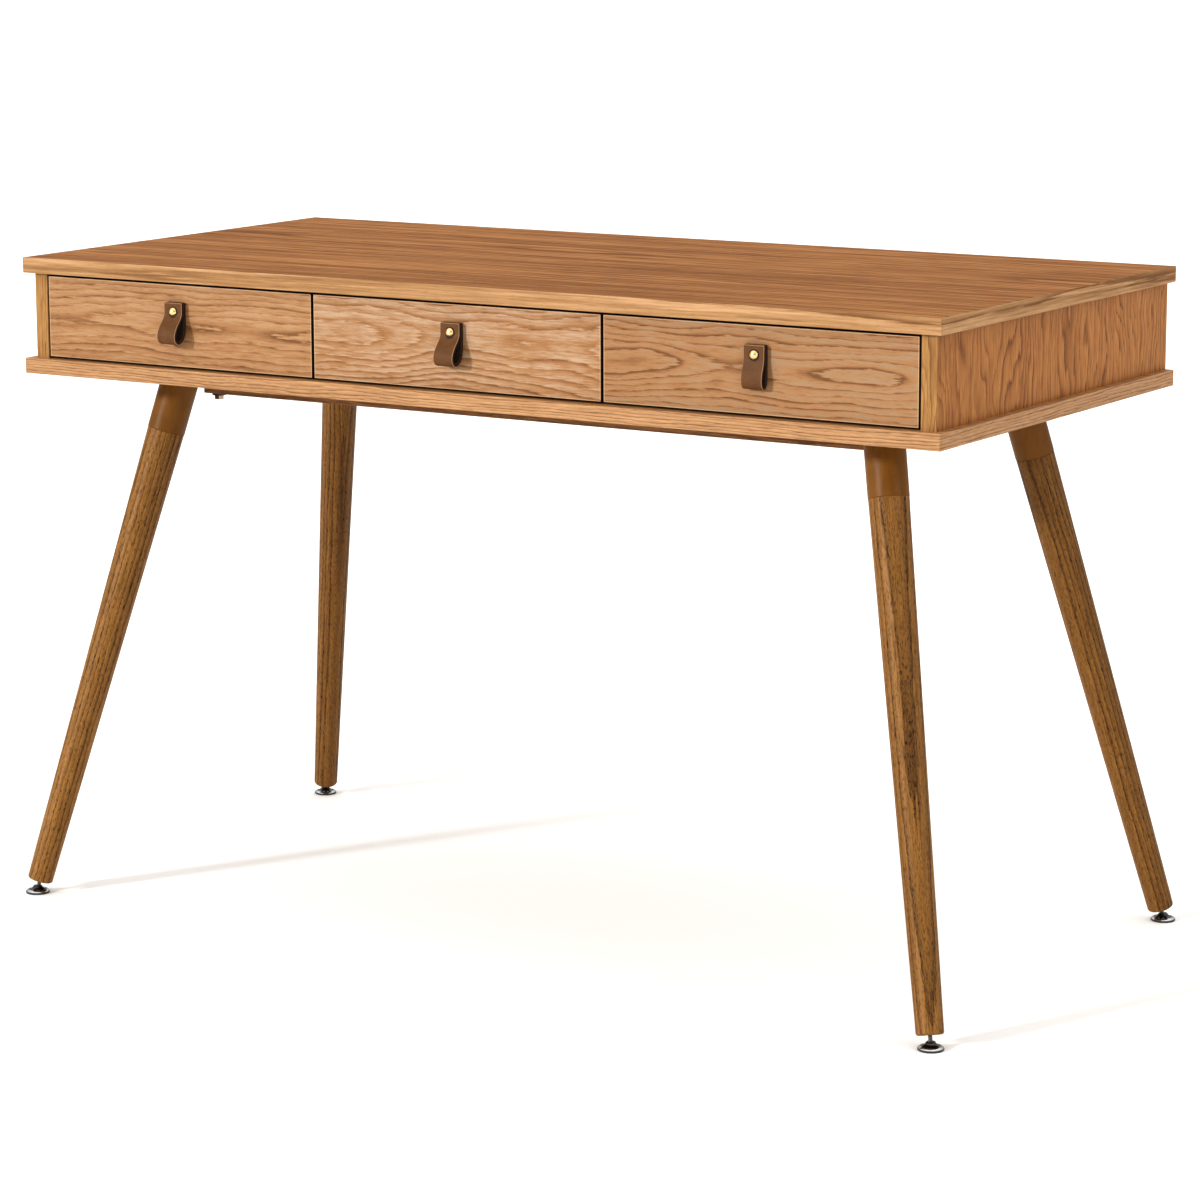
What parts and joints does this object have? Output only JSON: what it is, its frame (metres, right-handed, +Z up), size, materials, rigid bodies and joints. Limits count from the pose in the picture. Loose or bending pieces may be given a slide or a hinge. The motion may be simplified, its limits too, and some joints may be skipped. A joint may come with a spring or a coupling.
{
  "type": "writing desk",
  "caption": "Writing desk: a shallow case of drawers between two oak slabs, leather strap pulls, splayed round legs in brown sleeves and levelling feet.",
  "frame": {"origin": "on the floor, at the middle of the desk", "axes": "+X along the desk, to the sitter's right; -Y is the front, where the drawers open; +Z is up"},
  "size_m": [1.2308, 0.6192, 0.765],
  "materials": {
    "oak_veneer": "satin lacquered oak veneer, honey brown",
    "oak_veneer_inner": "satin oak veneer",
    "leg_oak": "satin stained solid oak, open pores",
    "rail_oak": "satin stained solid oak",
    "sleeve_brown": "smooth satin brown",
    "drawer_box_ply": "sanded pale plywood",
    "drawer_bottom_ply": "sanded thin plywood",
    "dowel_beech": "raw beech",
    "zinc_steel": "zinc plated",
    "chrome": "polished",
    "brass": "polished",
    "leather": "smooth brown saddle leather"
  },
  "bodies": {
    "frame": {"back_panel": "oak_veneer", "bottom_panel": "oak_veneer", "desk_top": "oak_veneer", "divider_left": "oak_veneer_inner", "divider_right": "oak_veneer_inner", "drawer_left_slide_channels": "zinc_steel", "drawer_middle_slide_channels": "zinc_steel", "drawer_right_slide_channels": "zinc_steel", "foot_inserts": "zinc_steel", "front_rail": "rail_oak", "leg_front_left": "leg_oak", "leg_front_right": "leg_oak", "leg_hanger_bolts": "zinc_steel", "leg_rear_left": "leg_oak", "leg_rear_right": "leg_oak", "leg_sleeve_front_left": "sleeve_brown", "leg_sleeve_front_right": "sleeve_brown", "leg_sleeve_rear_left": "sleeve_brown", "leg_sleeve_rear_right": "sleeve_brown", "leg_sleeve_screws": "zinc_steel", "panel_dowels": "dowel_beech", "rail_bolts": "chrome", "rear_rail": "rail_oak", "side_panel_left": "oak_veneer", "side_panel_right": "oak_veneer"},
    "drawer_left": {"drawer_left_front": "oak_veneer", "drawer_left_side_left": "drawer_box_ply", "drawer_left_side_right": "drawer_box_ply", "drawer_left_back": "drawer_box_ply", "drawer_left_bottom": "drawer_bottom_ply", "drawer_left_pull": "leather", "drawer_left_stud": "brass", "drawer_left_slide_runners": "zinc_steel"},
    "ball_cages_left": {"drawer_left_ball_cages": "zinc_steel"},
    "drawer_middle": {"drawer_middle_front": "oak_veneer", "drawer_middle_side_left": "drawer_box_ply", "drawer_middle_side_right": "drawer_box_ply", "drawer_middle_back": "drawer_box_ply", "drawer_middle_bottom": "drawer_bottom_ply", "drawer_middle_pull": "leather", "drawer_middle_stud": "brass", "drawer_middle_slide_runners": "zinc_steel"},
    "ball_cages_middle": {"drawer_middle_ball_cages": "zinc_steel"},
    "drawer_right": {"drawer_right_front": "oak_veneer", "drawer_right_side_left": "drawer_box_ply", "drawer_right_side_right": "drawer_box_ply", "drawer_right_back": "drawer_box_ply", "drawer_right_bottom": "drawer_bottom_ply", "drawer_right_pull": "leather", "drawer_right_stud": "brass", "drawer_right_slide_runners": "zinc_steel"},
    "ball_cages_right": {"drawer_right_ball_cages": "zinc_steel"},
    "foot_front_left": {"foot_stud_front_left": "chrome"},
    "glide_front_left": {"foot_glide_front_left": "chrome"},
    "foot_front_right": {"foot_stud_front_right": "chrome"},
    "glide_front_right": {"foot_glide_front_right": "chrome"},
    "foot_rear_left": {"foot_stud_rear_left": "chrome"},
    "glide_rear_left": {"foot_glide_rear_left": "chrome"},
    "foot_rear_right": {"foot_stud_rear_right": "chrome"},
    "glide_rear_right": {"foot_glide_rear_right": "chrome"}
  },
  "joints": [
    {"name": "drawer_left_slide", "type": "slide", "parent": "frame", "child": "drawer_left", "axis": [0, -1, 0], "range_m": [0, 0.33]},
    {"name": "ball_cages_left_slide", "type": "slide", "parent": "frame", "child": "ball_cages_left", "axis": [0, -1, 0], "range_m": [0, 0.165]},
    {"name": "drawer_middle_slide", "type": "slide", "parent": "frame", "child": "drawer_middle", "axis": [0, -1, 0], "range_m": [0, 0.33]},
    {"name": "ball_cages_middle_slide", "type": "slide", "parent": "frame", "child": "ball_cages_middle", "axis": [0, -1, 0], "range_m": [0, 0.165]},
    {"name": "drawer_right_slide", "type": "slide", "parent": "frame", "child": "drawer_right", "axis": [0, -1, 0], "range_m": [0, 0.33]},
    {"name": "ball_cages_right_slide", "type": "slide", "parent": "frame", "child": "ball_cages_right", "axis": [0, -1, 0], "range_m": [0, 0.165]},
    {"name": "foot_front_left_screw", "type": "slide", "parent": "frame", "child": "foot_front_left", "axis": [-0.2063, -0.2063, -0.9565], "range_m": [-0.005, 0.01]},
    {"name": "glide_front_left_swivel", "type": "hinge", "parent": "foot_front_left", "child": "glide_front_left", "pos_m": [-0.60119, -0.29539, 0.0055], "axis": [-0.7071, 0.7071, 0], "range_deg": [-5, 17]},
    {"name": "foot_front_right_screw", "type": "slide", "parent": "frame", "child": "foot_front_right", "axis": [0.2063, -0.2063, -0.9565], "range_m": [-0.005, 0.01]},
    {"name": "glide_front_right_swivel", "type": "hinge", "parent": "foot_front_right", "child": "glide_front_right", "pos_m": [0.60119, -0.29539, 0.0055], "axis": [-0.7071, -0.7071, 0], "range_deg": [-5, 17]},
    {"name": "foot_rear_left_screw", "type": "slide", "parent": "frame", "child": "foot_rear_left", "axis": [-0.2063, 0.2063, -0.9565], "range_m": [-0.005, 0.01]},
    {"name": "glide_rear_left_swivel", "type": "hinge", "parent": "foot_rear_left", "child": "glide_rear_left", "pos_m": [-0.60119, 0.29539, 0.0055], "axis": [0.7071, 0.7071, 0], "range_deg": [-5, 17]},
    {"name": "foot_rear_right_screw", "type": "slide", "parent": "frame", "child": "foot_rear_right", "axis": [0.2063, 0.2063, -0.9565], "range_m": [-0.005, 0.01]},
    {"name": "glide_rear_right_swivel", "type": "hinge", "parent": "foot_rear_right", "child": "glide_rear_right", "pos_m": [0.60119, 0.29539, 0.0055], "axis": [0.7071, -0.7071, 0], "range_deg": [-5, 17]}
  ],
  "couplings": [
    {"joint": "ball_cages_left_slide", "follows": "drawer_left_slide", "ratio": 0.5},
    {"joint": "ball_cages_middle_slide", "follows": "drawer_middle_slide", "ratio": 0.5},
    {"joint": "ball_cages_right_slide", "follows": "drawer_right_slide", "ratio": 0.5}
  ]
}
